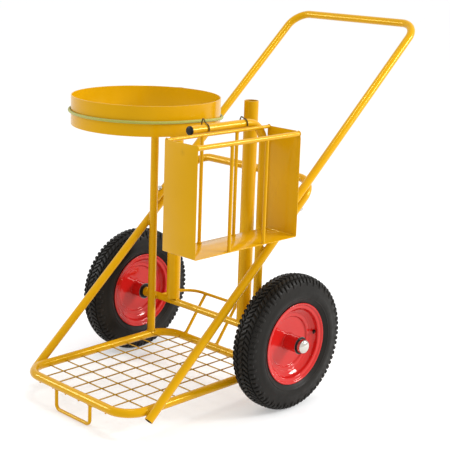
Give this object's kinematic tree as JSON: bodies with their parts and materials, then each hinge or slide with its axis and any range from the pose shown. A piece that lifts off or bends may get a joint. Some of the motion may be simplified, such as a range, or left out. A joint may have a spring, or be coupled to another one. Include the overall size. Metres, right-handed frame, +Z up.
{
  "type": "litter cart",
  "caption": "Push cart for litter picking: bent tube frame, wire platform, round sack hoop, upright tool tubes, lift-off tool box and pneumatic wheels.",
  "frame": {"origin": "middle of the base of the cart's bounding box, on the ground between its wheels and front foot", "axes": "+Z up, +Y from the platform's front to the push handle, +X towards the tool box, along the axle"},
  "size_m": [0.812, 1.1953, 1.0967],
  "materials": {
    "yellow_paint": "golden yellow powder coat, semi-gloss",
    "red_paint": "red gloss paint on pressed steel",
    "tyre": "black rubber with a block tread",
    "tube_rubber": "smooth black rubber",
    "black_plastic": "black moulded plastic",
    "dark_wire": "dark spring steel wire",
    "zinc_steel": "zinc-plated steel",
    "bright_cap": "bright plated",
    "green_elastic": "green woven sheath over an elastic core"
  },
  "bodies": {
    "cart": {"lower_frame": "yellow_paint", "handle_tube": "yellow_paint", "base_ring": "yellow_paint", "platform_mesh": "yellow_paint", "front_foot": "yellow_paint", "axle_tube": "yellow_paint", "rear_arch": "yellow_paint", "arch_rod_left": "yellow_paint", "arch_rod_middle": "yellow_paint", "arch_rod_right": "yellow_paint", "ring_post": "yellow_paint", "box_support_post": "yellow_paint", "tool_tube_left": "yellow_paint", "tool_tube_right": "yellow_paint", "bag_ring": "yellow_paint", "post_plug": "black_plastic", "elastic_cord": "green_elastic", "axle_shaft": "zinc_steel", "frame_bolt_left_lower": "zinc_steel", "frame_bolt_left_upper": "zinc_steel", "frame_bolt_right_lower": "zinc_steel", "frame_bolt_right_upper": "zinc_steel", "frame_nut_left_lower": "zinc_steel", "frame_nut_left_upper": "zinc_steel", "frame_nut_right_lower": "zinc_steel", "frame_nut_right_upper": "zinc_steel", "washer_outer_left": "black_plastic", "washer_inner_left": "black_plastic", "axle_cap_left": "bright_cap", "axle_collar_left": "yellow_paint", "washer_outer_right": "black_plastic", "washer_inner_right": "black_plastic", "axle_cap_right": "bright_cap", "axle_collar_right": "yellow_paint"},
    "wheel_left": {"tyre_left": "tyre", "inner_tube_left": "tube_rubber", "valve_stem_left": "tube_rubber", "rim_outer_left": "red_paint", "rim_inner_left": "red_paint", "hub_tube_left": "red_paint", "bearing_outer_left": "zinc_steel", "bearing_inner_left": "zinc_steel"},
    "wheel_right": {"tyre_right": "tyre", "inner_tube_right": "tube_rubber", "valve_stem_right": "tube_rubber", "rim_outer_right": "red_paint", "rim_inner_right": "red_paint", "hub_tube_right": "red_paint", "bearing_outer_right": "zinc_steel", "bearing_inner_right": "zinc_steel"},
    "tool_box": {"box_sheet": "yellow_paint", "box_top_rod_inner": "yellow_paint", "box_top_rod_outer": "yellow_paint", "box_slat_inner_front": "yellow_paint", "box_slat_inner_back": "yellow_paint", "box_slat_outer_front": "yellow_paint", "box_slat_outer_back": "yellow_paint", "box_hook_front": "dark_wire", "box_hook_back": "dark_wire"}
  },
  "joints": [
    {"name": "wheel_left_spin", "type": "hinge", "parent": "cart", "child": "wheel_left", "pos_m": [-0.332, -0.06581, 0.2], "axis": [1, 0, 0], "continuous": true},
    {"name": "wheel_right_spin", "type": "hinge", "parent": "cart", "child": "wheel_right", "pos_m": [0.332, -0.06581, 0.2], "axis": [1, 0, 0], "continuous": true},
    {"name": "tool_box_lift", "type": "slide", "parent": "cart", "child": "tool_box", "axis": [0, 0, 1], "range_m": [0, 0.1]}
  ]
}
